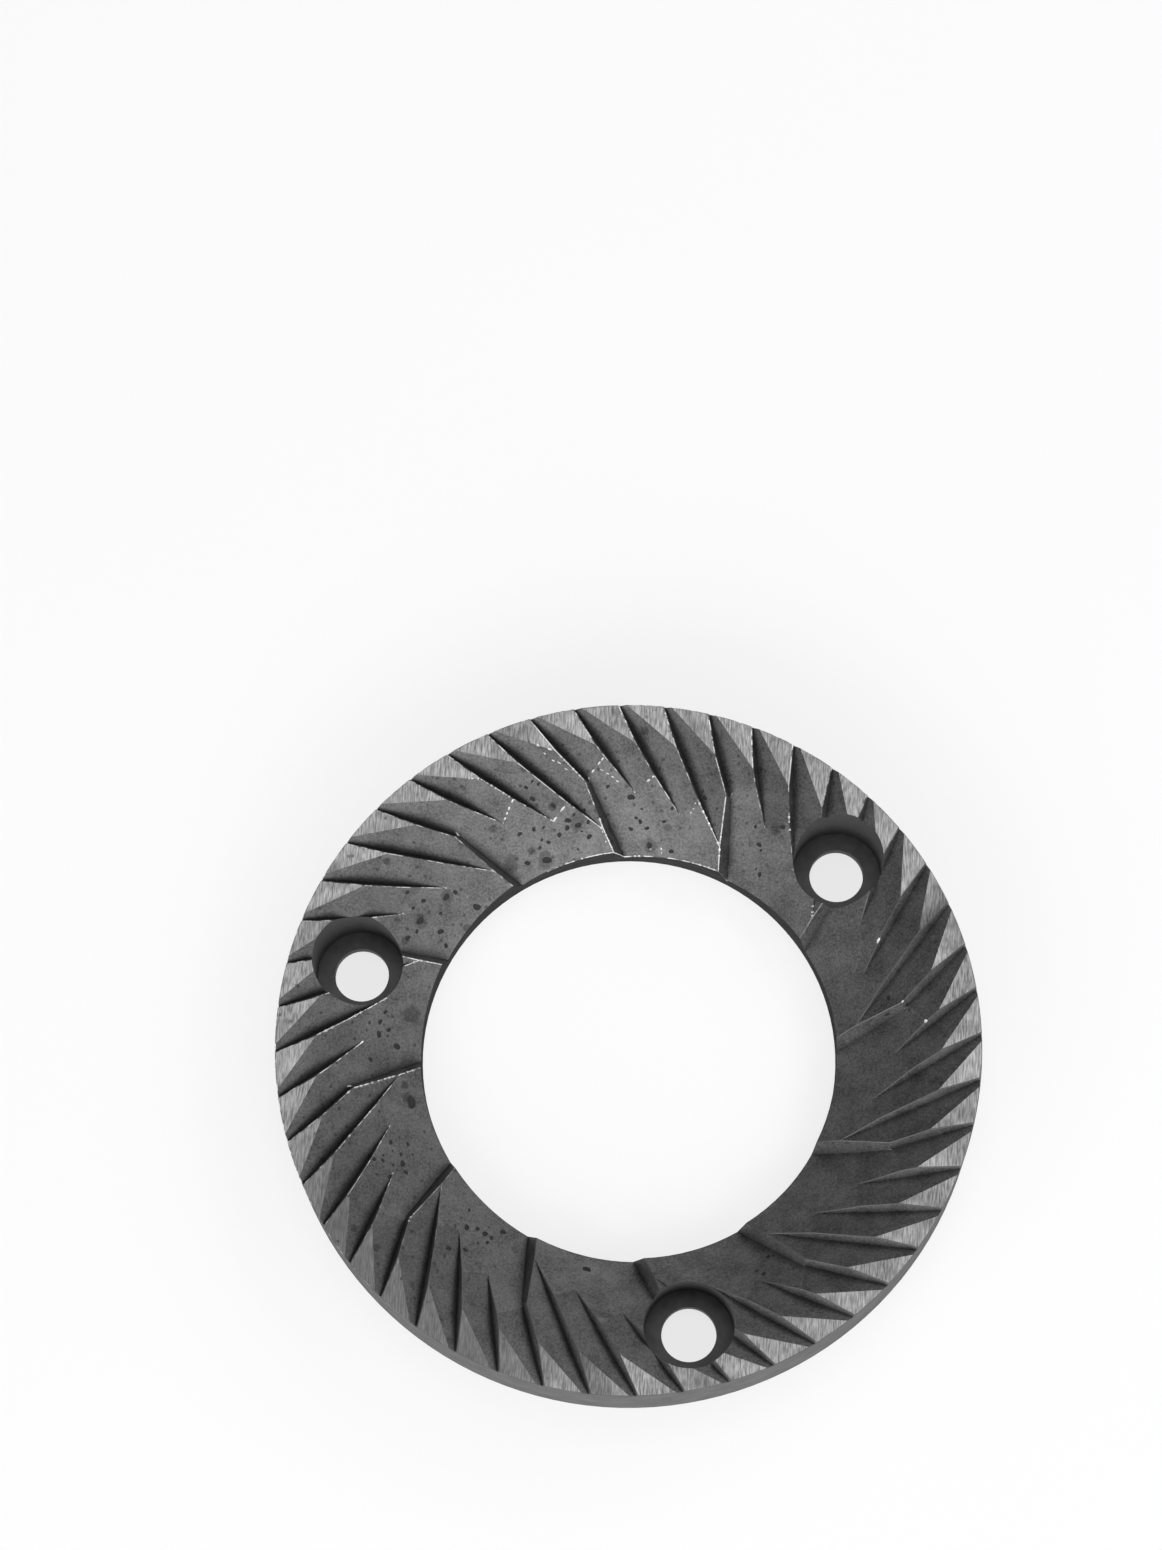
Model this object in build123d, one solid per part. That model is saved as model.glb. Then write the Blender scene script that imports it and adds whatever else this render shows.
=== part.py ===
"""Flat burr of a coffee grinder: one hardened steel ring, ground on its lands and back.

The ring lies on its flat back with its cutting face up. The origin is the centre of the
back face, and +Z is the ring's axis. Sizes are in millimetres and angles in degrees.
"""

import os
from math import asin, degrees, hypot, radians, sin, tan

from build123d import *

# Ring blank
outer_diameter = 64.0
bore_diameter = 38.0
thickness = 8.0
back_chamfer = 0.5

# Pre-breakers: coarse steps round the bore that crack whole beans
breaker_count = 12
breaker_wall_lean = 27.5  # steep wall off upright
breaker_wall_shift = 0.55  # the wall's trace at land height lies this far ahead of its radius
floor_slope = 36.0  # floor off level, falling towards the bore
floor_rise = 2.0  # along the bore, from the foot of one step to the top of the next
bore_wall = 3.1  # mean height of steel left round the bore

# Fine teeth: V grooves that start at the rim and fall towards the bore
teeth_per_breaker = 4
groove_sweep = 27.8  # root of a groove off its radius at the rim
groove_wall_lean = 26.0  # steep wall off upright
groove_ramp_rise = 29.0  # long ramp off level
groove_fall = 11.1  # root off level
groove_rim_depth = 0.25  # root below the land at the rim

# Screw holes, counterbored so that the heads sit below the floor
screw_count = 3
screw_inset = 6.0  # centre of a hole in from the rim
screw_angle = 40.7
screw_hole_diameter = 5.0
counterbore_diameter = 8.2
screw_seat = 1.0  # steel left under a screw head

# How far cutters run past the steel
overrun = 2.0

outer_radius = outer_diameter / 2
bore_radius = bore_diameter / 2
breaker_pitch = 360 / breaker_count
tooth_count = breaker_count * teeth_per_breaker
tooth_pitch = 360 / tooth_count


def ring_blank():
    """Turned ring with its two back edges broken."""
    with BuildPart() as blank:
        with BuildSketch(Plane.XZ):
            with BuildLine():
                Polyline(
                    (bore_radius, back_chamfer),
                    (bore_radius + back_chamfer, 0),
                    (outer_radius - back_chamfer, 0),
                    (outer_radius, back_chamfer),
                    (outer_radius, thickness),
                    (bore_radius, thickness),
                    close=True,
                )
            make_face()
        revolve(axis=Axis.Z)
    return blank.part


def groove_cutter():
    """Path of a V cutter through the rim at +Y: the V's point runs along the root."""
    reach = 2 * (outer_radius - bore_radius)
    height = groove_rim_depth + reach * sin(radians(groove_fall))
    with BuildPart() as cutter:
        with BuildSketch(Plane.XZ.offset(-overrun)):
            with BuildLine():
                Polyline(
                    (0, 0),
                    (height / tan(radians(groove_ramp_rise)), height),
                    (-height * tan(radians(groove_wall_lean)), height),
                    close=True,
                )
            make_face()
        extrude(amount=reach)
    root = Pos(0, outer_radius, thickness - groove_rim_depth)
    return root * Rot(0, 0, groove_sweep) * Rot(groove_fall, 0, 0) * cutter.part


def breaker_cutter():
    """One coarse step with its wall's trace along +Y: a leaning block that an offset cone trims.

    The cone's axis is set off to one side, so its surface falls towards the bore and also
    towards the wall.
    """
    foot_depth = thickness - bore_wall + floor_rise / 2
    foot_offset = foot_depth * tan(radians(breaker_wall_lean)) - breaker_wall_shift
    cell_middle = degrees(asin(foot_offset / bore_radius)) + breaker_pitch / 2

    slope = tan(radians(floor_slope))
    axis_offset = floor_rise / (2 * slope * sin(radians(breaker_pitch / 2)))
    back_radius = hypot(bore_radius, axis_offset) - bore_wall / slope
    height = thickness + overrun
    funnel = Cone(
        back_radius,
        back_radius + height / slope,
        height,
        align=(Align.CENTER, Align.CENTER, Align.MIN),
    )
    funnel = Rot(0, 0, -cell_middle) * Pos(-axis_offset, 0, 0) * funnel

    width = 1.5 * outer_radius * radians(breaker_pitch)
    depth = 2 * thickness
    block = Box(width, outer_radius, 2 * depth, align=(Align.MIN, Align.MIN, Align.CENTER))
    wall = Pos(-breaker_wall_shift, 0, thickness) * Rot(0, -breaker_wall_lean, 0)
    return wall * block & funnel


def screw_cutter():
    """Clearance hole with a flat counterbore, on the screw circle at +X."""
    hole = Cylinder(
        screw_hole_diameter / 2,
        thickness + 2 * overrun,
        align=(Align.CENTER, Align.CENTER, Align.MIN),
    )
    counterbore = Cylinder(
        counterbore_diameter / 2,
        thickness + overrun,
        align=(Align.CENTER, Align.CENTER, Align.MIN),
    )
    place = Pos(outer_radius - screw_inset, 0, 0)
    return place * (Pos(0, 0, -overrun) * hole + Pos(0, 0, screw_seat) * counterbore)


def around(cutter, count, start):
    """Copies of a cutter set evenly round the ring's axis."""
    return [Rot(0, 0, start + index * 360 / count) * cutter for index in range(count)]


burr_ring = ring_blank()
burr_ring -= around(breaker_cutter(), breaker_count, tooth_pitch - 90)
burr_ring -= around(groove_cutter(), tooth_count, -90)
burr_ring -= around(screw_cutter(), screw_count, screw_angle)

os.makedirs("parts", exist_ok=True)
export_step(burr_ring, "parts/burr_ring.step")
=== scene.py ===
# %% [markdown]
# # A flat burr of a coffee grinder
# A burr is the ring of hardened steel that does a grinder's cutting. Beans fall through the bore, twelve
# steps on its conical mouth break them, and forty-eight fine teeth grind the pieces on their way out to
# the rim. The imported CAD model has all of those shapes, sharp and clean. This lesson adds what use and
# making leave on the real ring: rounded edges, nicks, pits, grinding lines and dull, stained steel.

import math
import random

import bmesh
import bpy
from mathutils import Matrix, Vector


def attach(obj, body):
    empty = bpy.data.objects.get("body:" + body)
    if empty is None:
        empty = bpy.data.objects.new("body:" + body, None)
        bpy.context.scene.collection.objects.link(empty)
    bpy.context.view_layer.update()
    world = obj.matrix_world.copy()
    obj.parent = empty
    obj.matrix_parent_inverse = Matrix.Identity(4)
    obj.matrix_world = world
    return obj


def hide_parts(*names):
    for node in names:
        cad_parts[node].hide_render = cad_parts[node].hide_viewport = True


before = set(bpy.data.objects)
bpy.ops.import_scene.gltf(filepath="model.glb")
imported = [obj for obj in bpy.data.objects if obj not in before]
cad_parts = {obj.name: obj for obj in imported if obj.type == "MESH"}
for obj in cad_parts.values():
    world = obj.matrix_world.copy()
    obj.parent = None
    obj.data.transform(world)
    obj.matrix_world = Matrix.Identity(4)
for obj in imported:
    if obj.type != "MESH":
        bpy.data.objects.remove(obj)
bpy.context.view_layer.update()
mm = 0.001
up = Vector((0, 0, 1))

# %% [markdown]
# ## The camera
# The photograph looks steeply down on the ring from about two hand spans away. A camera could be placed
# by eye, but the ring's many straight edges fix it well, so its focal length, tilt, roll and distance
# were worked out from where those edges lie in the picture. The ring's middle isn't in the middle of the
# picture, so the camera is turned until that point falls on its own pixel.

# %% Camera values
photo_width = 1162
photo_height = 1550
focal_pixels = 4303.1
tilt_above_floor = math.radians(77.197)
roll = math.radians(-2.843)
ring_turn = math.radians(-1.45)
distance = 390.11*mm
ring_middle_pixel = (627.96, 1042.50)
face_height = 8*mm
sensor_width = 36
print("photograph:", photo_width, "by", photo_height, "pixels")

# %% Place the camera
back = Vector((0, -math.cos(tilt_above_floor), math.sin(tilt_above_floor)))
right = Vector((1, 0, 0))
level_view = Matrix((right, (-back).cross(right), -back))
offset_x = (ring_middle_pixel[0] - photo_width/2)/focal_pixels
offset_y = (ring_middle_pixel[1] - photo_height/2)/focal_pixels
to_middle = Vector((offset_x, offset_y, 1)).normalized()
swing = up.rotation_difference(to_middle).to_matrix()
turned = Matrix.Rotation(ring_turn, 3, "Z")
view = swing @ Matrix.Rotation(roll, 3, "Z") @ level_view @ turned
facing = view.transposed() @ Matrix.Diagonal((1, -1, -1))
place = turned.transposed() @ (back*distance) + up*face_height

camera = bpy.data.objects.new("camera", bpy.data.cameras.new("camera"))
bpy.context.scene.collection.objects.link(camera)
camera.data.sensor_width = sensor_width
camera.data.lens = sensor_width*focal_pixels/photo_height
camera.data.clip_start = 10*mm
camera.matrix_world = Matrix.Translation(place) @ facing.to_4x4()
bpy.context.scene.camera = camera
print("camera at", [round(n/mm, 1) for n in place], "lens", round(camera.data.lens, 1))

# %% [markdown]
# ## The ring
# The CAD mesh is loose triangles, so a copy is merged into whole faces before its edges can be worked
# on. The mesh also brings its own stored normals, which would shade wrongly once faces are merged, so they
# are cleared. The copy is a new object, and the CAD node stays as it was, hidden, for the simulation.

# %% Copy the CAD mesh and merge it
def select_only(piece):
    """Deselect everything but one piece, and make it the active one."""
    bpy.ops.object.select_all(action="DESELECT")
    piece.select_set(True)
    bpy.context.view_layer.objects.active = piece


merge_distance = 0.03*mm
flat_enough = math.radians(0.5)
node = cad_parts["burr_ring"]
burr = bpy.data.objects.new("burr", node.data.copy())
bpy.context.scene.collection.objects.link(burr)
select_only(burr)
burr.data.materials.clear()
bpy.ops.mesh.customdata_custom_splitnormals_clear()
bpy.ops.object.mode_set(mode="EDIT")
bpy.ops.mesh.select_all(action="SELECT")
bpy.ops.mesh.remove_doubles(threshold=merge_distance)
bpy.ops.mesh.dissolve_limited(angle_limit=flat_enough)
bpy.ops.object.mode_set(mode="OBJECT")
print("merged ring:", len(burr.data.polygons), "faces")

# %% [markdown]
# ## Arithmetic for finishes
# A finish is a small network of nodes. Wires between nodes are easier to read as sums, so one class
# wraps a socket, and adding or multiplying such wires adds the Math nodes. A second class holds a
# material, and places any other node.

# %% A wire
class Wire:
    """A value in a finish, which can be used in a sum."""

    def __init__(self, finish, socket):
        self.finish = finish
        self.socket = socket

    def sum(self, operation, first, second):
        return self.finish.add("ShaderNodeMath", {"operation": operation}, {0: first, 1: second})

    def __add__(self, other):
        return self.sum("ADD", self, other)

    def __radd__(self, other):
        return self.sum("ADD", other, self)

    def __sub__(self, other):
        return self.sum("SUBTRACT", self, other)

    def __rsub__(self, other):
        return self.sum("SUBTRACT", other, self)

    def __mul__(self, other):
        return self.sum("MULTIPLY", self, other)

    def __rmul__(self, other):
        return self.sum("MULTIPLY", other, self)


# %% A finish
class Finish:
    """A material and its nodes."""

    def __init__(self, name):
        self.material = bpy.data.materials.new(name)
        self.material.use_nodes = True
        self.tree = self.material.node_tree
        self.shader = self.tree.nodes["Principled BSDF"]

    def add(self, kind, settings=None, sockets=None, output=0):
        new = self.tree.nodes.new(kind)
        for name, value in (settings or {}).items():
            setattr(new, name, value)
        for name, value in (sockets or {}).items():
            self.feed(new.inputs[name], value)
        return Wire(self, new.outputs[output])

    def feed(self, socket, value):
        if isinstance(value, Wire):
            self.tree.links.new(value.socket, socket)
        else:
            socket.default_value = value

    def surface(self, **sockets):
        for name, value in sockets.items():
            label = name.replace("_", " ").title().replace("Ior", "IOR")
            self.feed(self.shader.inputs[label], value)


# %% [markdown]
# ## Patterns
# Each pattern is measured in millimetres on the ring. A Mapping node of type Texture turns and stretches
# the coordinates, so a size along each axis can be given as a length, and a noise with a scale of 1 then
# has grains of that size.

# %% Noise and soft steps
def grain(finish, size, turn=0.0, detail=2.0, shift=0.0, roughness=0.5):
    """Noise from 0 to 1 with grains of the given sizes in mm, turned about the ring's axis."""
    where = finish.add("ShaderNodeTexCoord", output="Object")
    lengths = tuple(length*mm for length in size)
    mapped = {"Vector": where, "Location": (shift*mm,)*3, "Rotation": (0, 0, turn), "Scale": lengths}
    local = finish.add("ShaderNodeMapping", {"vector_type": "TEXTURE"}, mapped)
    looks = {"Vector": local, "Scale": 1.0, "Detail": detail, "Roughness": roughness}
    return finish.add("ShaderNodeTexNoise", sockets=looks)


def step(finish, value, low, high):
    """0 below low, 1 above high, and a soft rise between."""
    limits = {"Value": value, "From Min": low, "From Max": high}
    return finish.add("ShaderNodeMapRange", {"interpolation_type": "SMOOTHSTEP"}, limits)


# %% Spots and patches
def spots(finish, size, share, shift=0.0):
    """Round spots about as wide as half the given size, in a share of the cells."""
    where = finish.add("ShaderNodeTexCoord", output="Object")
    mapped = {"Vector": where, "Location": (shift*mm,)*3, "Scale": (size*mm,)*3}
    local = finish.add("ShaderNodeMapping", {"vector_type": "TEXTURE"}, mapped)
    cells = {"Vector": local, "Scale": 1.0}
    away = finish.add("ShaderNodeTexVoronoi", sockets=cells, output="Distance")
    lot = finish.add("ShaderNodeTexVoronoi", sockets=cells, output="Color")
    chosen = step(finish, lot, 1 - share, 1.02 - share)
    return chosen*(1 - step(finish, away, 0.16, 0.30))


def near(finish, angle, radius, reach, core=0.4, uneven=0.0):
    """1 over the core of a patch on the ring's upper side, falling to 0 at its reach in mm, unevenly."""
    where = finish.add("ShaderNodeTexCoord", output="Object")
    level = finish.add("ShaderNodeVectorMath", {"operation": "MULTIPLY"}, {0: where, 1: (1, 1, 0)})
    turn = math.radians(angle)
    middle = (radius*mm*math.cos(turn), radius*mm*math.sin(turn), 0)
    settings = {"operation": "DISTANCE"}
    away = finish.add("ShaderNodeVectorMath", settings, {0: level, 1: middle}, "Value")
    return 1 - step(finish, away + reach*mm*uneven, core*reach*mm, reach*mm)


# %% Sides, corners and bumps
def towards(finish, angle):
    """1 on the side of the ring that lies at an angle, 0 on the far side."""
    where = finish.add("ShaderNodeTexCoord", output="Object")
    turn = math.radians(angle)
    reach = 26*mm
    direction = (math.cos(turn)/reach, math.sin(turn)/reach, 0)
    settings = {"operation": "DOT_PRODUCT"}
    along = finish.add("ShaderNodeVectorMath", settings, {0: where, 1: direction}, "Value")
    return step(finish, along, -0.6, 0.6)


def corner_shade_and_dirt(finish, reach):
    """Painted shade and dirt: 1 deep in a corner, 0 where nothing of the ring stands closer than a reach
    in mm.
    """
    settings = {"samples": 8, "only_local": True}
    open_share = finish.add("ShaderNodeAmbientOcclusion", settings, {"Distance": reach*mm}, "AO")
    return step(finish, 1 - open_share, 0.05, 0.55)


def rough_skin(finish, height, depth):
    """A bump from a height of 0 to 1, with its depth in mm."""
    return finish.add("ShaderNodeBump", sockets={"Height": height, "Distance": depth*mm, "Strength": 1.0})


# %% [markdown]
# ## The ground face
# The tips of all teeth and the outer band were ground flat together, in straight strokes across the whole
# ring. That leaves fine parallel lines in one direction, light and dark. They are too many to cut into
# the mesh, so a noise is drawn out along the strokes, and gives both their tone and a fine bump. To the
# lower left the face is stained and duller.

# %% Finish of the ground face
ground_face = Finish("ground_face")
stroke_turn = math.radians(85.5)
fine_strokes = grain(ground_face, (1.1, 0.14, 1.0), stroke_turn, 4.0)
broad_strokes = grain(ground_face, (4.0, 0.8, 2.0), stroke_turn, 2.0, 7.0)
cloud = grain(ground_face, (2.0, 2.0, 2.0), 0.0, 6.0, 3.0, 0.65)
stain = near(ground_face, 226, 29, 20)*step(ground_face, cloud, 0.15, 0.50)
strokes = step(ground_face, fine_strokes, 0.28, 0.74)
patches = grain(ground_face, (6.0, 6.0, 6.0), 0.0, 2.0, 13.0)
tone = (0.025 + 0.24*strokes + 0.21*broad_strokes)*(0.40 + 1.2*cloud)*(0.5 + patches)
freckles = spots(ground_face, 0.7, 0.25)*towards(ground_face, 165)
ground_face.surface(
    base_color=(tone*(1 - 0.60*stain) + 0.092*stain)*(1 - 0.5*freckles),
    metallic=0.95,
    roughness=0.30 + 0.15*broad_strokes + 0.15*stain,
    normal=rough_skin(ground_face, fine_strokes, 0.005),
)
print("ground face:", len(ground_face.tree.nodes), "nodes")

# %% [markdown]
# ## The milled flanks
# The conical mouth, the steps and the tooth grooves were cut, hardened and then used for years. They are
# a dull mid grey with soft clouds, fine dark freckles of rust on the far and left side, and a scatter of
# bright grains. The same recipe is made in four tones, one for each slope, set partly as painted light and
# shade for that slope, and each is painted darker on the side away from its lit angle, the walls most.
# Shade and dirt could be painted into each corner by hand, but a node that measures how shut in a point is
# finds all corners by itself and darkens them as painted shade and dirt. A broad patch on the near left is
# painted darker as shade too.

# %% Finish of the flanks
def milled(name, depth_of_tone, darkest_side, lit_angle, stains=()):
    """Dull cut steel of a tone, with painted shade down to its darkest share on the side away from the lit
    angle.
    """
    finish = Finish(name)
    clouds = grain(finish, (2.4, 2.4, 2.4), 0.0, 7.0, 0.0, 0.68)
    fine = grain(finish, (0.20, 0.20, 0.20), 0.0, 2.0, 5.0)
    # painted shade and dirt, darker where the ring closes round a point
    shade_and_dirt = corner_shade_and_dirt(finish, 1.3)
    rust_side = towards(finish, 150)
    freckles = spots(finish, 0.75, 0.35)*(0.35 + 0.65*rust_side)
    large_freckles = spots(finish, 1.7, 0.25, 11.0)*rust_side
    grains = spots(finish, 0.5, 0.06, 23.0)*rust_side
    # painted shade and dirt in corners, less of it towards the right side of the ring
    marks_and_shade = (1 - 0.5*freckles)*(1 - 0.45*large_freckles)*(1 - (0.75 - 0.3*towards(finish, 0))*shade_and_dirt)
    ragged = 1.4*grain(finish, (0.9, 0.9, 0.9), 0.0, 4.0, 17.0) - 0.7
    for angle, radius, reach in stains:
        marks_and_shade = marks_and_shade*(1 - 0.40*near(finish, angle, radius, reach, 0.45, ragged))
    # painted shade: the flanks are darker in a broad patch on the near left
    shaded_left_patch = near(finish, 228, 24, 16, 0.3)
    marks_and_shade = marks_and_shade*(1 - 0.12*shaded_left_patch)
    # painted shade: the flank is darker on the side of the ring away from the lit angle
    side_light = darkest_side + (1 - darkest_side)*towards(finish, lit_angle)
    tone = depth_of_tone*(1.6*clouds + 1.6*fine - 0.6)*marks_and_shade*side_light
    finish.surface(
        base_color=tone + 0.20*grains,
        metallic=0.75,
        roughness=0.42 + 0.12*clouds + 0.08*fine,
        normal=rough_skin(finish, fine, 0.028),
    )
    return finish


# Each stain has an angle, a radius and a reach in mm
floor_stains = [
    (168.5, 20.3, 1.1), (191.5, 20.4, 0.9), (111.5, 20.0, 0.9), (83.0, 20.0, 0.8), (101.0, 22.0, 0.9),
    (55.0, 24.8, 0.8), (120.0, 21.0, 1.0), (138.0, 22.0, 0.9), (146.3, 22.7, 0.8),
]
# Each flank: its tone, the share kept on its darkest side as painted shade, the angle of its lit side, and
# stains
milled_floor = milled("milled_floor", 0.140, 0.88, 310, floor_stains)
milled_ramp = milled("milled_ramp", 0.121, 0.82, 45)
milled_wall = milled("milled_wall", 0.190, 0.30, 315)
milled_step = milled("milled_step", 0.135, 0.75, 335)
print("milled flanks:", len(milled_ramp.tree.nodes), "nodes each,", len(floor_stains), "floor stains more")

# %% [markdown]
# ## The turned sides, the holes and the back
# Rim, bore and chamfers came off a lathe, so their marks run round the ring: a noise that is very thin
# along the axis and long across it gives that. The drilled holes hold dirt and are darker, and the flat
# seats in them get a lighter tone of the same finish as painted light. The back was ground like the face,
# and is cleaner.

# %% Finish of the rim
turned_side = Finish("turned_side")
turning = grain(turned_side, (9.0, 9.0, 0.10), 0.0, 3.0)
side_clouds = grain(turned_side, (2.0, 2.0, 1.2), 0.0, 4.0, 9.0)
side_freckles = spots(turned_side, 0.6, 0.15)
turned_side.surface(
    base_color=(0.04 + 0.08*turning + 0.11*side_clouds)*(1 - 0.4*side_freckles),
    metallic=0.2,
    specular_ior_level=0.0,
    roughness=0.45 + 0.15*side_clouds,
    normal=rough_skin(turned_side, turning, 0.006),
)
print("rim:", len(turned_side.tree.nodes), "nodes")

# %% Finish of the bore
bored_mouth = Finish("bored_mouth")
boring = grain(bored_mouth, (9.0, 9.0, 0.12), 0.0, 3.0)
bore_clouds = grain(bored_mouth, (1.8, 1.8, 1.0), 0.0, 4.0, 4.0)
bored_mouth.surface(
    base_color=0.012 + 0.018*boring + 0.042*bore_clouds,
    metallic=0.1,
    specular_ior_level=0.0,
    roughness=0.65 + 0.12*bore_clouds,
    normal=rough_skin(bored_mouth, boring, 0.006),
)
print("bore:", len(bored_mouth.tree.nodes), "nodes")

# %% Finish of the screw holes
def drilled(name, tone):
    """Dark drilled steel, lighter where its tone is above 1."""
    finish = Finish(name)
    drilling = grain(finish, (1.5, 1.5, 0.14), 0.0, 3.0)
    clouds = grain(finish, (0.9, 0.9, 0.9), 0.0, 4.0, 2.0)
    finish.surface(
        base_color=tone*(0.02 + 0.04*drilling + 0.06*clouds),
        metallic=0.45,
        specular_ior_level=0.15,
        roughness=0.45 + 0.15*clouds,
        normal=rough_skin(finish, drilling, 0.010),
    )
    return finish


drilled_hole = drilled("drilled_hole", 1.0)
# painted light: the flat seats take the hole finish at 1.7 times its tone
screw_seat = drilled("screw_seat", 1.7)
print("screw holes and seats:", len(drilled_hole.tree.nodes), "nodes each")

# %% Finish of the back
ground_back = Finish("ground_back")
back_strokes = grain(ground_back, (5.0, 0.16, 1.0), math.radians(40), 3.0)
back_clouds = grain(ground_back, (5.0, 5.0, 5.0), 0.0, 4.0, 6.0)
ground_back.surface(
    base_color=0.06 + 0.22*back_strokes + 0.08*back_clouds,
    metallic=0.95,
    roughness=0.30 + 0.15*back_clouds,
    normal=rough_skin(ground_back, back_strokes, 0.004),
)
print("back:", len(ground_back.tree.nodes), "nodes")

# %% [markdown]
# ## Worn edges, pits and nicks
# Worn crests show brighter metal than the flanks beside them, in broken stretches and most of all on the
# far left. A noise that turns a bright tone on and off gives such stretches along every edge, and a few
# places are named where wear is heaviest. Pits are dark, because rust and coffee fill them. A fresh nick
# shows bare, bright steel.

# %% Finish of worn edges
worn_edge = Finish("worn_edge")
wear = grain(worn_edge, (0.9, 0.9, 0.9), 0.0, 5.0, 8.0, 0.7)
# Each worn stretch has an angle, a radius and a reach in mm
most_worn = [(105, 27.5, 5), (95, 20.3, 3), (66, 22, 4), (60, 29, 4), (172, 25, 5), (155, 20.5, 3)]
for angle, radius, reach in most_worn:
    wear = wear + 0.10*near(worn_edge, angle, radius, reach)
worn_side = towards(worn_edge, 130)
worn_edge.surface(
    base_color=0.11 + 0.75*worn_side*worn_side*step(worn_edge, wear, 0.46, 0.60),
    metallic=0.6,
    roughness=0.45,
)
print("worn edges:", len(worn_edge.tree.nodes), "nodes")

# %% Finish of pits and nicks
pit_floor = Finish("pit_floor")
crust = grain(pit_floor, (0.12, 0.12, 0.12), 0.0, 3.0)
pit_floor.surface(
    base_color=0.012 + 0.03*crust,
    metallic=0.3,
    roughness=0.65 + 0.2*crust,
    normal=rough_skin(pit_floor, crust, 0.02),
)

bare_nick = Finish("bare_nick")
scratches = grain(bare_nick, (0.5, 0.06, 0.06), 0.6, 2.0)
bare_nick.surface(
    base_color=0.45 + 0.45*scratches,
    metallic=0.5,
    roughness=0.30 + 0.10*scratches,
    normal=rough_skin(bare_nick, scratches, 0.006),
)
print("pits:", len(pit_floor.tree.nodes), "nodes, nicks:", len(bare_nick.tree.nodes), "nodes")

# %% [markdown]
# ## A finish for every face
# Each face's slope and place tell what it is: flat and high is the ground face, flat and low a screw's
# seat, upright near a screw is a hole, and the slopes of steps, ramps and walls all differ. Faces could
# be picked by hand, but a rule in code still holds when the model's mesh is made anew.

# %% What tells faces apart
finishes = {
    "ground_face": ground_face,
    "milled_floor": milled_floor,
    "milled_ramp": milled_ramp,
    "milled_wall": milled_wall,
    "milled_step": milled_step,
    "turned_side": turned_side,
    "bored_mouth": bored_mouth,
    "drilled_hole": drilled_hole,
    "screw_seat": screw_seat,
    "ground_back": ground_back,
    "worn_edge": worn_edge,
}
finish_names = list(finishes)
screw_circle = 26*mm
first_screw = 40.7
screw_angles = [first_screw + 120*k for k in range(3)]
screws = [Matrix.Rotation(math.radians(a), 3, "Z") @ Vector((screw_circle, 0, 0)) for a in screw_angles]
screw_reach = 4.3*mm
rim_inside = 30*mm
lowest_land = 7.5*mm
# Slopes in degrees that tell faces apart
level_slope = 2
cone_slope = 36
ramp_end = 50
step_end = 63.5
upright = 80
overhang = 100
underside = 179
print(len(finishes), "finishes and", len(screws), "screw holes")

# %% Give faces their finish
def finish_of(face):
    """The name of a face's finish, from its slope and place."""
    slope = math.degrees(face.normal.angle(up))
    flat_place = Vector((face.center.x, face.center.y, 0))
    near_screw = min((flat_place - screw).length for screw in screws) < screw_reach
    if slope > underside:
        return "ground_back"
    if slope > upright:
        if near_screw:
            return "drilled_hole"
        on_rim = flat_place.length > rim_inside
        return "turned_side" if on_rim or slope > overhang else "bored_mouth"
    if slope < level_slope:
        return "ground_face" if face.center.z > lowest_land else "screw_seat"
    if slope > step_end:
        return "milled_wall"
    if slope > ramp_end:
        return "milled_step"
    return "milled_floor" if abs(slope - cone_slope) < 1 else "milled_ramp"


for finish in finishes.values():
    burr.data.materials.append(finish.material)
for face in burr.data.polygons:
    face.material_index = finish_names.index(finish_of(face))
for name in finish_names:
    count = sum(face.material_index == finish_names.index(name) for face in burr.data.polygons)
    print(name, count, "faces")

# %% [markdown]
# ## Rounded edges
# No crest of a used ring is sharp. Selecting the outward edges in edit mode and bevelling them by a few
# hundredths of a millimetre is enough to catch the light as a thin line. The bevel gives its faces the
# worn finish. The mouths of the screw holes see no wear and stay as they were cut. Edges near the back,
# and the bore's edge except for its far side, aren't worn bright, and take the finish of the side below.

# %% Bevel the outward edges
edge_wear = 0.07*mm
least_fold = math.radians(35)
least_ridge = math.radians(8)
crests = []
bpy.ops.object.mode_set(mode="EDIT")
bpy.ops.mesh.select_all(action="DESELECT")
bpy.ops.mesh.select_mode(type="EDGE")
shape = bmesh.from_edit_mesh(burr.data)
hole_finishes = (finish_names.index("drilled_hole"), finish_names.index("screw_seat"))
for edge in shape.edges:
    fold = edge.calc_face_angle_signed()
    of_hole = any(face.material_index in hole_finishes for face in edge.link_faces)
    edge.select_set(fold > least_fold and not of_hole)
    if fold > least_ridge and not of_hole:
        outward = (edge.link_faces[0].normal + edge.link_faces[1].normal).normalized()
        crests.append((edge.verts[0].co.copy(), edge.verts[1].co.copy(), outward, fold))
bmesh.update_edit_mesh(burr.data)
bpy.ops.mesh.bevel(
    offset=edge_wear,
    offset_type="OFFSET",
    segments=2,
    affect="EDGES",
    clamp_overlap=False,
    material=finish_names.index("worn_edge"),
    miter_outer="SHARP",
    miter_inner="SHARP",
)
bpy.ops.object.mode_set(mode="OBJECT")
print(len(crests), "outward edges, the sharp ones rounded:", len(burr.data.polygons), "faces")

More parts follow.
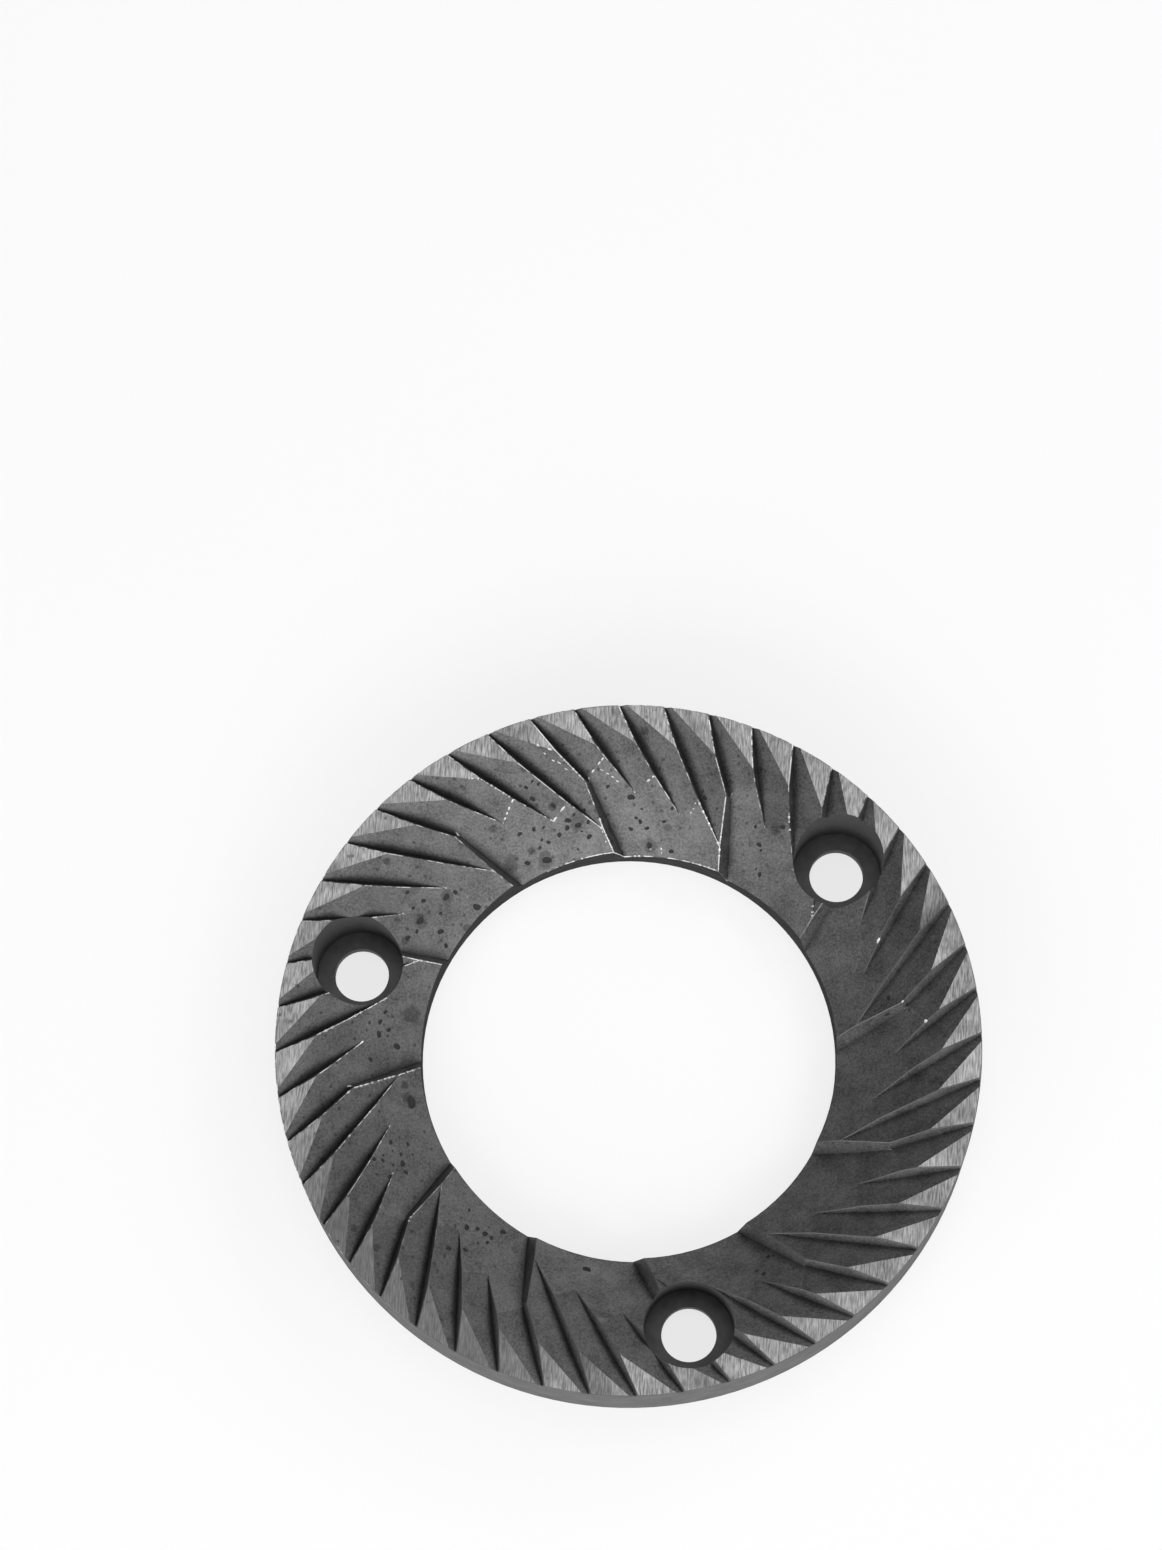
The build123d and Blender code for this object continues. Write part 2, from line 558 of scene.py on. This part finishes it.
# %% Only used edges are bright
chamfer_top = 1.0*mm
bore_edge = 19.12*mm
worn_bore_start = 60
worn_bore_end = 112
worn_index = finish_names.index("worn_edge")
for face in burr.data.polygons:
    radius = math.hypot(face.center.x, face.center.y)
    angle = math.degrees(math.atan2(face.center.y, face.center.x))
    if face.material_index == worn_index and face.center.z < chamfer_top:
        face.material_index = finish_names.index("turned_side")
    on_worn_bore = worn_bore_start < angle < worn_bore_end
    if face.material_index == worn_index and radius < bore_edge and not on_worn_bore:
        face.material_index = finish_names.index("bored_mouth")
print("bright edges:", sum(face.material_index == worn_index for face in burr.data.polygons), "faces")

# %% [markdown]
# ## Pits
# Rust has eaten small pits into the flanks, most of them on the far and the left side. A bump would look
# flat from the side, so they are real dents: one uneven ball is modelled, copied to every pit's place,
# and pressed flat along the surface. All the balls are cut out of the ring at once, further down, and the
# cut leaves the balls' dark finish in the dents.

# %% One uneven ball
chance = random.Random(7)
bpy.ops.object.select_all(action="DESELECT")
bpy.ops.mesh.primitive_ico_sphere_add(subdivisions=2, radius=1.0)
pit_ball = bpy.context.active_object
bpy.ops.object.mode_set(mode="EDIT")
bpy.ops.transform.vertex_random(offset=0.16, uniform=0.4, normal=0.6, seed=3)
bpy.ops.object.mode_set(mode="OBJECT")
pit_ball.data.materials.append(pit_floor.material)
print("pit ball:", len(pit_ball.data.polygons), "faces")

# %% Copies of a tool, pressed into the ring
def surface_at(angle, radius):
    """The place on the ring's upper side at an angle and a radius in mm, and the way it faces."""
    turn = math.radians(angle)
    above = Vector((radius*mm*math.cos(turn), radius*mm*math.sin(turn), 20*mm))
    _, spot, outward, _ = burr.ray_cast(above, -up)
    return spot, outward


cutters = []
taken = []
clearance = 1.2


def press(tool, spot, outward, along, lengths):
    """A copy of a tool at a spot, sized along, across and outward, if nothing is there yet."""
    across = outward.cross(along).normalized()
    along = across.cross(outward)
    width = max(lengths[1:])
    reach = max(lengths[0] - width, 0)
    covered = [spot + along*reach*share for share in (-1, -0.5, 0, 0.5, 1)]
    for there, other in taken:
        if any((here - there).length < clearance*(width + other) for here in covered):
            return
    axes = Matrix((along*lengths[0], across*lengths[1], outward*lengths[2])).transposed()
    copy = bpy.data.objects.new("cutter", tool.data.copy())
    copy.data.transform(Matrix.Translation(spot) @ axes.to_4x4())
    bpy.context.scene.collection.objects.link(copy)
    cutters.append(copy)
    taken.extend((here, width) for here in covered)


# %% Where the pits are
# A large pit has an angle, a radius and a width in mm, a group an angle, a radius, a spread and a count
large_pits = [
    (88, 23.8, 0.50), (101, 21.7, 0.45), (103.1, 22.3, 0.45), (83, 19.9, 0.45), (111, 19.9, 0.60),
    (93, 24.8, 0.30), (80, 21.9, 0.30), (106, 21.4, 0.35), (54, 25.0, 0.40), (99, 22.9, 0.30),
    (192, 20.3, 0.80), (177, 21.2, 0.50), (175, 22.8, 0.45), (206, 23.0, 0.45), (208, 23.1, 0.35),
    (202, 21.8, 0.30), (204, 24.5, 0.30), (234, 20.0, 0.45), (231, 21.2, 0.45), (258, 20.3, 0.55),
    (299, 24.0, 0.35), (116, 20.4, 0.40), (72, 24.6, 0.35), (138, 22.1, 0.50), (135.6, 21.8, 0.35),
    (142.2, 23.4, 0.35), (146.2, 22.7, 0.55), (145.1, 20.8, 0.45), (148.6, 22.5, 0.30),
    (151, 22.9, 0.40), (147.1, 19.8, 0.35), (134.1, 19.7, 0.55), (143.2, 24.9, 0.30),
    (173.5, 22.0, 0.35), (180.9, 23.5, 0.35), (227, 21.9, 0.45), (228.9, 21.3, 0.35),
]
pit_groups = [
    (100, 21.5, 2.0, 12), (113, 22.0, 2.0, 9), (85, 21.5, 2.4, 8), (107, 26.0, 2.2, 8),
    (173, 23.0, 2.4, 10), (204, 23.0, 2.2, 9), (231, 21.5, 2.2, 10), (60, 22.5, 3.0, 5),
    (8, 23.5, 3.0, 6), (300, 23.0, 2.5, 4), (145, 24.0, 2.5, 5),
]
print(len(large_pits), "large pits and", len(pit_groups), "groups of small ones")

# %% Press the pits
small_pit_widths = (0.16, 0.40)
pit_shape = (0.75, 0.60, 0.22)
least_pit_radius = 19.6
land_facing = 0.95
pits = list(large_pits)
for angle, radius, spread, count in pit_groups:
    for _ in range(count):
        step_out = chance.gauss(0, 0.5*spread)
        step_round = math.degrees(chance.gauss(0, 0.5*spread)/radius)
        pits.append((angle + step_round, radius + step_out, chance.uniform(*small_pit_widths)))

for angle, radius, width in pits:
    spot, outward = surface_at(angle, max(radius, least_pit_radius))
    if outward.z < land_facing:
        along = Vector((chance.uniform(-1, 1), chance.uniform(-1, 1), 0.1))
        press(pit_ball, spot, outward, along, [share*width*mm for share in pit_shape])
bpy.data.objects.remove(pit_ball)
print("pressed", len(cutters), "pits")

# %% [markdown]
# ## Chips
# Stones and metal in the beans have knocked bright chips off the crests, and a few out of the open flanks.
# Most lie in rows along an edge. Each is cut with a small smooth ball, drawn out along the edge that it
# lies on and just deep enough to give the chip its width. A row is written as its kind, its two ends as
# angle and radius, how many chips it has and the longest in mm. The chips get random lengths, as real
# ones have. A ridge is a blunt edge, a crest a sharp one, a knock a wide chip on a crest.

# %% Where the chips are
chip_rows = [
    ("ridge", (96.8, 26.6), (93.4, 27.3), 3, 0.60),
    ("ridge", (84.0, 24.5), (82.5, 25.3), 2, 0.60),
    ("ridge", (103.5, 23.9), (105.9, 22.2), 2, 0.90),
    ("ridge", (112.9, 25.3), (115.6, 23.9), 4, 0.50),
    ("ridge", (106.3, 29.5), (103.0, 28.1), 3, 0.45),
    ("crest", (102.6, 27.8), (98.0, 25.7), 7, 0.50),
    ("open", (104.6, 28.4), (100.5, 26.5), 4, 0.45),
    ("ridge", (119.5, 29.0), (116.5, 27.8), 6, 0.40),
    ("crest", (116.2, 27.5), (113.0, 25.4), 7, 0.40),
    ("crest", (96.4, 21.9), (93.6, 19.3), 5, 0.50),
    ("crest", (66.2, 22.0), (64.0, 19.6), 4, 0.60),
    ("crest", (72.7, 24.0), (66.9, 21.9), 5, 0.60),
    ("crest", (54.1, 26.2), (52.0, 25.1), 4, 0.30),
    ("crest", (177.1, 28.2), (166.8, 22.3), 13, 0.50),
    ("crest", (156.5, 22.0), (154.0, 19.6), 5, 0.50),
    ("crest", (188.8, 25.8), (184.3, 19.4), 12, 0.40),
    ("crest", (218.0, 25.4), (217.9, 24.5), 4, 0.40),
    ("crest", (107.0, 19.1), (94.5, 19.1), 8, 0.55),
    ("crest", (89.5, 19.1), (85.0, 19.1), 3, 0.50),
    ("crest", (71.0, 19.1), (63.5, 19.1), 5, 0.50),
    ("crest", (37.0, 21.8), (35.0, 20.6), 4, 0.40),
    ("knock", (22.1, 24.7), (22.0, 24.6), 1, 0.60),
    ("knock", (3.0, 27.1), (3.0, 27.0), 1, 0.40),
    ("crest", (7.8, 25.4), (7.7, 25.3), 1, 0.30),
    ("crest", (197.5, 26.6), (197.4, 26.5), 1, 0.40),
    ("crest", (193.8, 24.4), (193.5, 24.1), 1, 0.40),
    ("open", (94.4, 26.1), (90.4, 25.2), 4, 0.50),
    ("open", (74.1, 22.7), (73.4, 23.9), 4, 0.30),
    ("open", (95.6, 21.0), (94.6, 19.9), 4, 0.30),
    ("open", (79.9, 19.7), (79.4, 19.1), 2, 0.40),
]
chip_widths = {
    "ridge": (0.15, 0.21),
    "crest": (0.14, 0.26),
    "knock": (0.24, 0.32),
    "open": (0.08, 0.16),
}
print(len(chip_rows), "rows of chips")

# %% One smooth ball
bpy.ops.object.select_all(action="DESELECT")
bpy.ops.mesh.primitive_ico_sphere_add(subdivisions=2, radius=1.0)
chip_ball = bpy.context.active_object
chip_ball.data.materials.append(bare_nick.material)
print("chip ball:", len(chip_ball.data.polygons), "faces")

# %% Place a chip on its edge
ball_share = 0.6


def nearest_edge(spot, kind):
    """The nearest point on an outward edge of a kind, and the edge's direction, facing and fold."""
    best = None
    for start, end, outward, fold in crests:
        if (fold < least_fold) != (kind == "ridge"):
            continue
        along = end - start
        share = min(max((spot - start).dot(along)/along.length_squared, 0.0), 1.0)
        point = start + share*along
        away = (spot - point).length
        if best is None or away < best[0]:
            best = (away, point, along, outward, fold)
    return best[1:]


def chip_ball_at(kind, spot, outward, along, length, width):
    """The middle, directions and sizes of the ball that cuts a chip of a length and a width in mm."""
    fold = 0.0
    if kind != "open":
        spot, along, outward, fold = nearest_edge(spot, kind)
    round_size = ball_share*width*mm
    dish = round_size - math.sqrt(round_size**2 - (0.5*width*mm)**2)
    depth = 0.5*width*mm*math.tan(fold/2) + dish
    share_cut = math.sqrt(1 - (1 - min(depth/round_size, 1))**2)
    centre = spot + outward*(round_size - depth)
    return centre, outward, along, (0.5*length*mm/share_cut, round_size, round_size)


# %% Press the rows of chips
most_of_room = 0.78
shortest_share = 0.55
stray = 0.2
for kind, start, end, count, longest in chip_rows:
    row = surface_at(*end)[0] - surface_at(*start)[0]
    room = row.length/mm/count if count > 1 else longest/most_of_room
    for k in range(count):
        length = chance.uniform(shortest_share, 1.0)*min(longest, most_of_room*room)
        slack = 1 - length/room
        share = (k + 0.5 + slack*chance.uniform(-0.5, 0.5))/count
        angle = start[0] + share*(end[0] - start[0])
        radius = start[1] + share*(end[1] - start[1]) + chance.uniform(-stray, stray)
        width = chance.uniform(*chip_widths[kind])
        spot, outward = surface_at(angle, radius)
        press(chip_ball, *chip_ball_at(kind, spot, outward, row, length, width))
bpy.data.objects.remove(chip_ball)
print("pressed", len(cutters), "pits and chips")

# %% Cut all of them out of the ring
bpy.ops.object.select_all(action="DESELECT")
for cutter in cutters:
    cutter.select_set(True)
bpy.context.view_layer.objects.active = cutters[0]
bpy.ops.object.join()
joined = bpy.context.active_object
select_only(burr)
cut = burr.modifiers.new("cut", "BOOLEAN")
cut.operation = "DIFFERENCE"
cut.solver = "MANIFOLD"
cut.material_mode = "TRANSFER"
cut.object = joined
bpy.ops.object.modifier_apply(modifier="cut")
bpy.data.objects.remove(joined)
print("ring with pits and chips:", len(burr.data.polygons), "faces")

# %% [markdown]
# ## Smooth shading
# The rim, the bore and the holes are round, but their mesh has many flat sides. Shading it smooth only
# where faces meet at a small angle makes them look round, and leaves every crest as it is.

# %% Smooth the round sides
smooth_below = math.radians(15)
select_only(burr)
bpy.ops.object.shade_smooth_by_angle(angle=smooth_below)
print("shaded smooth below", round(math.degrees(smooth_below)), "degrees")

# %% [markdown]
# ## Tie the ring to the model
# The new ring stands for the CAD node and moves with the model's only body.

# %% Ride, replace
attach(burr, "root")
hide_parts("burr_ring")
print(burr.name, "stands for burr_ring and rides on root")

# %% [markdown]
# ## Floor and light
# The ring lies on a plain white sheet. Its light in the photograph comes low from the front and the left,
# weaker from the right and the far right, and a little from above, which the flat ground face mirrors.
# Five soft lamps stand for that. Their sum lights a level white sheet to white, so colours show about as
# they are written.

# %% Floor
floor_size = 6.0
floor_drop = 0.02*mm
whiteness = 0.75
bpy.ops.object.select_all(action="DESELECT")
bpy.ops.mesh.primitive_plane_add(size=floor_size, location=(0, 0, -floor_drop))
floor = bpy.context.active_object
floor.name = "floor"
bpy.ops.object.transform_apply(location=True, rotation=True, scale=True)
paper = Finish("paper")
fibres = grain(paper, (40.0, 40.0, 40.0), 0.0, 3.0)
paper.surface(base_color=0.86 + 0.04*fibres, roughness=0.9)
seen = paper.add("ShaderNodeLightPath", output="Is Camera Ray")
mirrored = paper.add("ShaderNodeLightPath", output="Is Glossy Ray")
through = paper.add("ShaderNodeLightPath", output="Is Transmission Ray")
white = paper.add("ShaderNodeEmission", sockets={"Color": (1, 1, 1, 1), "Strength": 1.0})
lit = Wire(paper, paper.shader.outputs[0])
shown_white = whiteness*(seen + mirrored + through)
mixed = paper.add("ShaderNodeMixShader", sockets={0: shown_white, 1: lit, 2: white})
paper.tree.links.new(mixed.socket, paper.tree.nodes["Material Output"].inputs["Surface"])
floor.data.materials.append(paper.material)
print("floor:", floor_size, "m wide")

# %% Lamps
lamp_distance = 0.6


def soft_lamp(name, angle, height_angle, width, height, brightness):
    """A soft box of a width and height in metres, facing the ring."""
    turn = math.radians(angle)
    rise = math.radians(height_angle)
    out = Vector((math.cos(turn)*math.cos(rise), math.sin(turn)*math.cos(rise), math.sin(rise)))
    lamp = bpy.data.lights.new(name, "AREA")
    lamp.shape = "RECTANGLE"
    lamp.size = width
    lamp.size_y = height
    lamp.energy = brightness*math.pi*width*height
    stand = bpy.data.objects.new(name, lamp)
    bpy.context.scene.collection.objects.link(stand)
    stand.location = lamp_distance*out
    stand.rotation_euler = (-out).to_track_quat("-Z", "Y").to_euler()


soft_lamp("front_lamp", 252, 28, 0.90, 0.30, 4.2)
soft_lamp("right_lamp", 318, 35, 0.60, 0.30, 2.4)
soft_lamp("far_lamp", 45, 35, 0.60, 0.30, 2.4)
soft_lamp("left_lamp", 190, 35, 0.40, 0.30, 0.9)
soft_lamp("top_lamp", 90, 77, 0.27, 0.27, 2.7)

# %% World
world_grey = 0.15
world = bpy.data.worlds.new("studio")
world.use_nodes = True
background = world.node_tree.nodes["Background"]
background.inputs["Color"].default_value = (world_grey, world_grey, world_grey, 1)
bpy.context.scene.world = world
bpy.context.scene.view_settings.view_transform = "Standard"
print("world: grey", world_grey)
